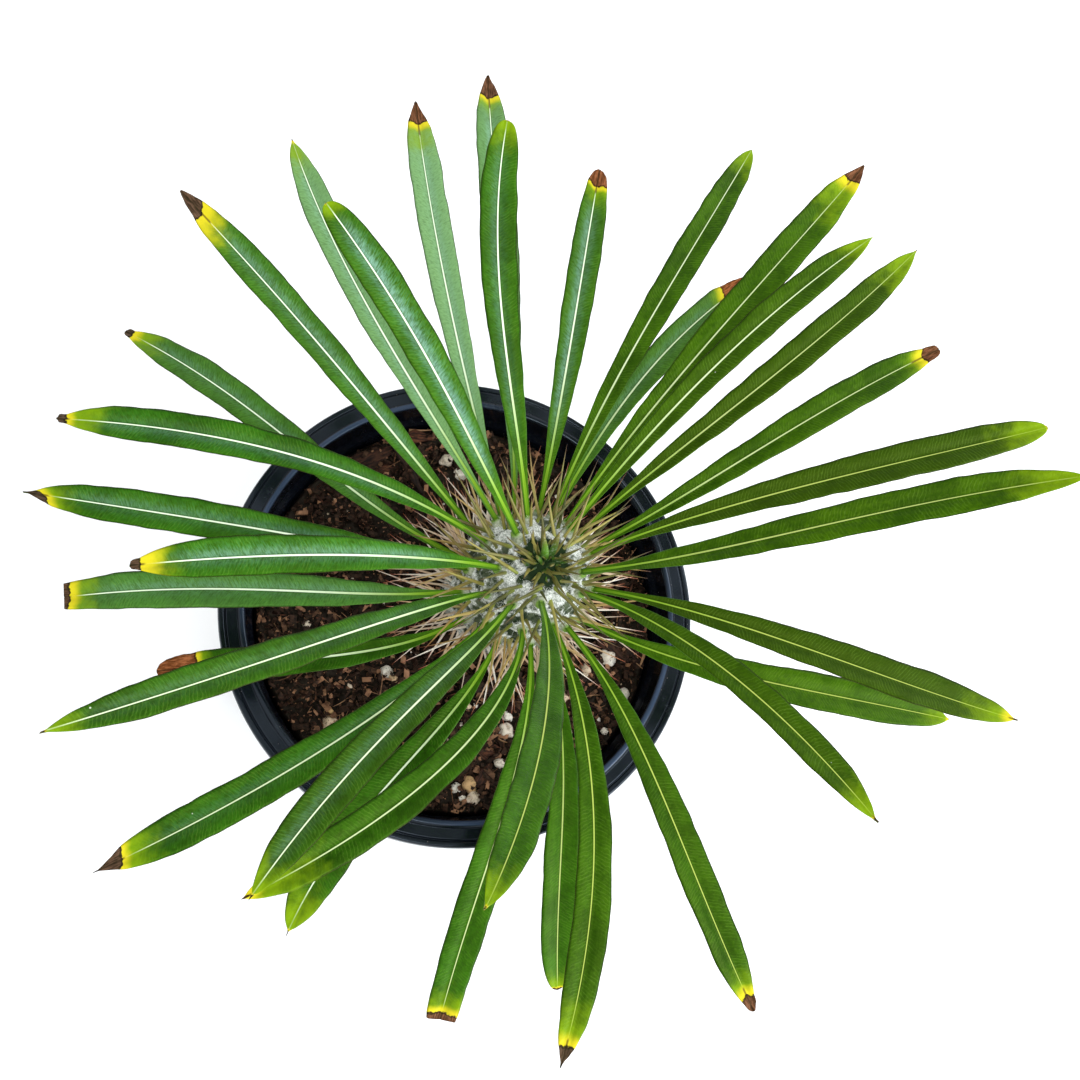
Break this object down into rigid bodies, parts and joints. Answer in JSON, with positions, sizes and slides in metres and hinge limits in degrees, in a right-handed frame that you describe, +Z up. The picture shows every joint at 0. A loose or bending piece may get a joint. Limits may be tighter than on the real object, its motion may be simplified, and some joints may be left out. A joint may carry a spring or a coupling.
{
  "type": "potted madagascar palm",
  "caption": "Young spiny succulent with a swollen woolly stem and a rosette of long narrow arching leaves, standing in soil in a round plastic nursery pot.",
  "frame": {"origin": "middle of the pot's underside, on the surface that it stands on", "axes": "+Z up along the pot's axis, +X and +Y level; the stem leans a little towards +X"},
  "size_m": [0.2972, 0.3308, 0.3021],
  "materials": {
    "pot_plastic": "satin",
    "potting_soil": "matte",
    "woolly_stem": "matte",
    "leaf_green": "satin"
  },
  "bodies": {
    "root": {"pot": "pot_plastic", "soil": "potting_soil", "stem": "woolly_stem", "leaf_01": "leaf_green", "leaf_02": "leaf_green", "leaf_03": "leaf_green", "leaf_04": "leaf_green", "leaf_05": "leaf_green", "leaf_06": "leaf_green", "leaf_07": "leaf_green", "leaf_08": "leaf_green", "leaf_09": "leaf_green", "leaf_10": "leaf_green", "leaf_11": "leaf_green", "leaf_12": "leaf_green", "leaf_13": "leaf_green", "leaf_14": "leaf_green", "leaf_15": "leaf_green", "leaf_16": "leaf_green", "leaf_17": "leaf_green", "leaf_18": "leaf_green", "leaf_19": "leaf_green", "leaf_20": "leaf_green", "leaf_21": "leaf_green", "leaf_22": "leaf_green", "leaf_23": "leaf_green", "leaf_24": "leaf_green", "leaf_25": "leaf_green", "leaf_26": "leaf_green", "leaf_27": "leaf_green", "leaf_28": "leaf_green", "leaf_29": "leaf_green", "leaf_30": "leaf_green", "leaf_31": "leaf_green", "leaf_32": "leaf_green", "leaf_33": "leaf_green", "leaf_34": "leaf_green"}
  },
  "joints": []
}
